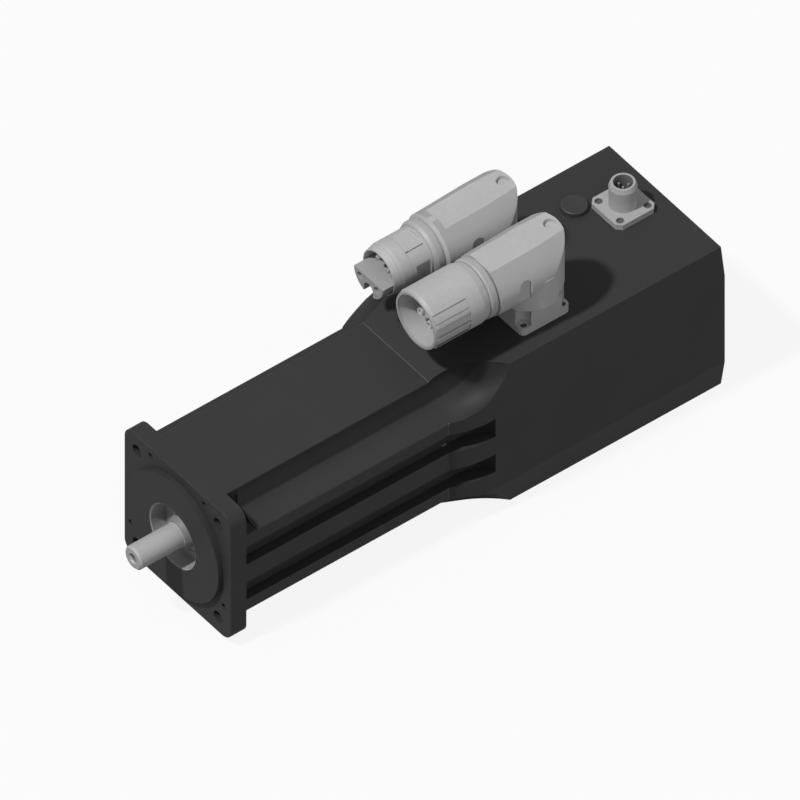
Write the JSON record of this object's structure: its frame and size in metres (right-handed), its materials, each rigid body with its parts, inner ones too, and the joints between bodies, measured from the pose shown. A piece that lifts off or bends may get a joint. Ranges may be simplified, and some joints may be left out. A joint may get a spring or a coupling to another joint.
{
  "type": "integrated servo motor",
  "caption": "Flange-mounted servo motor with its drive electronics in one finned-corner housing, swivelling angled connectors on top and a plain round output shaft.",
  "frame": {"origin": "centre of the flange's mounting face, on the shaft's axis", "axes": "the shaft points along -Y, the drive box is towards +Y, the connectors are on top at +Z"},
  "size_m": [0.0784, 0.273, 0.1192],
  "materials": {
    "dark_coat": "satin black-grey coat",
    "plated_metal": "satin nickel plate",
    "bright_steel": "ground steel",
    "electrical_steel": "laminated steel",
    "bare_aluminium": "machined aluminium",
    "dark_screw": "black oxide",
    "copper_wire": "enamelled copper wire",
    "magnet": "plated magnet",
    "brass_cage": "pressed brass",
    "gold_contact": "gold-plated contact",
    "dark_plastic": "moulded plastic",
    "light_plastic": "light grey moulded plastic",
    "circuit_board": "green circuit board",
    "red_insulation": "insulated lead",
    "rubber_seal": "soft seal"
  },
  "bodies": {
    "housing": {"front_flange": "dark_coat", "motor_body": "dark_coat", "drive_housing": "dark_coat", "rear_cover": "dark_coat", "rear_cover_gasket": "rubber_seal", "rear_cover_screws": "dark_screw", "tie_rods": "bright_steel", "end_plate": "bare_aluminium", "front_bearing_outer_ring": "bright_steel", "rear_bearing_outer_ring": "bright_steel", "bearing_shields": "bright_steel", "front_bearing_circlip": "dark_screw", "stator_core": "electrical_steel", "stator_coils": "copper_wire", "stator_wiring_ring": "dark_plastic", "phase_leads": "red_insulation", "sensor_board_posts": "bare_aluminium", "sensor_board": "circuit_board", "sensor_board_screws": "bright_steel", "power_board": "circuit_board", "power_module": "dark_plastic", "thermal_pad": "rubber_seal", "capacitors": "dark_plastic", "terminal_block": "dark_plastic", "board_spacers": "bright_steel", "control_board": "circuit_board", "board_screws": "bright_steel", "board_headers": "dark_plastic", "left_connector_base": "plated_metal", "right_connector_base": "plated_metal", "left_swivel_clip": "bright_steel", "right_swivel_clip": "bright_steel", "base_screws": "bright_steel", "connector_leads": "red_insulation", "sensor_connector": "plated_metal", "sensor_connector_insert": "dark_plastic", "sensor_connector_pins": "gold_contact", "sensor_connector_screws": "bright_steel", "blank_plug": "dark_plastic"},
    "rotor": {"motor_shaft": "bright_steel", "rotor_core": "electrical_steel", "rotor_magnets": "magnet", "rotor_sleeve": "bright_steel", "code_wheel": "bare_aluminium", "front_bearing_inner_ring": "bright_steel", "rear_bearing_inner_ring": "bright_steel"},
    "front_balls": {"front_bearing_balls": "bright_steel", "front_bearing_cage": "brass_cage"},
    "rear_balls": {"rear_bearing_balls": "bright_steel", "rear_bearing_cage": "brass_cage"},
    "left_connector": {"left_elbow": "plated_metal", "left_barrel": "plated_metal", "left_insert": "light_plastic", "left_pins": "gold_contact"},
    "right_connector": {"right_elbow": "plated_metal", "right_barrel": "plated_metal", "right_snap_ring": "bright_steel", "right_insert": "light_plastic", "right_contacts": "gold_contact"},
    "coupling_nut": {"right_coupling_nut": "plated_metal"}
  },
  "joints": [
    {"name": "rotor_spin", "type": "hinge", "parent": "housing", "child": "rotor", "pos_m": [0, 0, 0], "axis": [0, -1, 0], "continuous": true},
    {"name": "front_ball_orbit", "type": "hinge", "parent": "housing", "child": "front_balls", "pos_m": [0, 0.0091, 0], "axis": [0, -1, 0], "continuous": true},
    {"name": "rear_ball_orbit", "type": "hinge", "parent": "housing", "child": "rear_balls", "pos_m": [0, 0.102, 0], "axis": [0, -1, 0], "continuous": true},
    {"name": "power_connector_swivel", "type": "hinge", "parent": "housing", "child": "left_connector", "pos_m": [-0.0155, 0.1674, 0.0513], "axis": [0, 0, 1], "range_deg": [-180, 0]},
    {"name": "signal_connector_swivel", "type": "hinge", "parent": "housing", "child": "right_connector", "pos_m": [0.0155, 0.1674, 0.0513], "axis": [0, 0, 1], "range_deg": [0, 180]},
    {"name": "coupling_nut_turn", "type": "hinge", "parent": "right_connector", "child": "coupling_nut", "pos_m": [0.0155, 0.124, 0.0662], "axis": [0, -1, 0], "continuous": true}
  ],
  "couplings": [
    {"joint": "front_ball_orbit", "follows": "rotor_spin", "ratio": 0.3987},
    {"joint": "rear_ball_orbit", "follows": "rotor_spin", "ratio": 0.381}
  ]
}
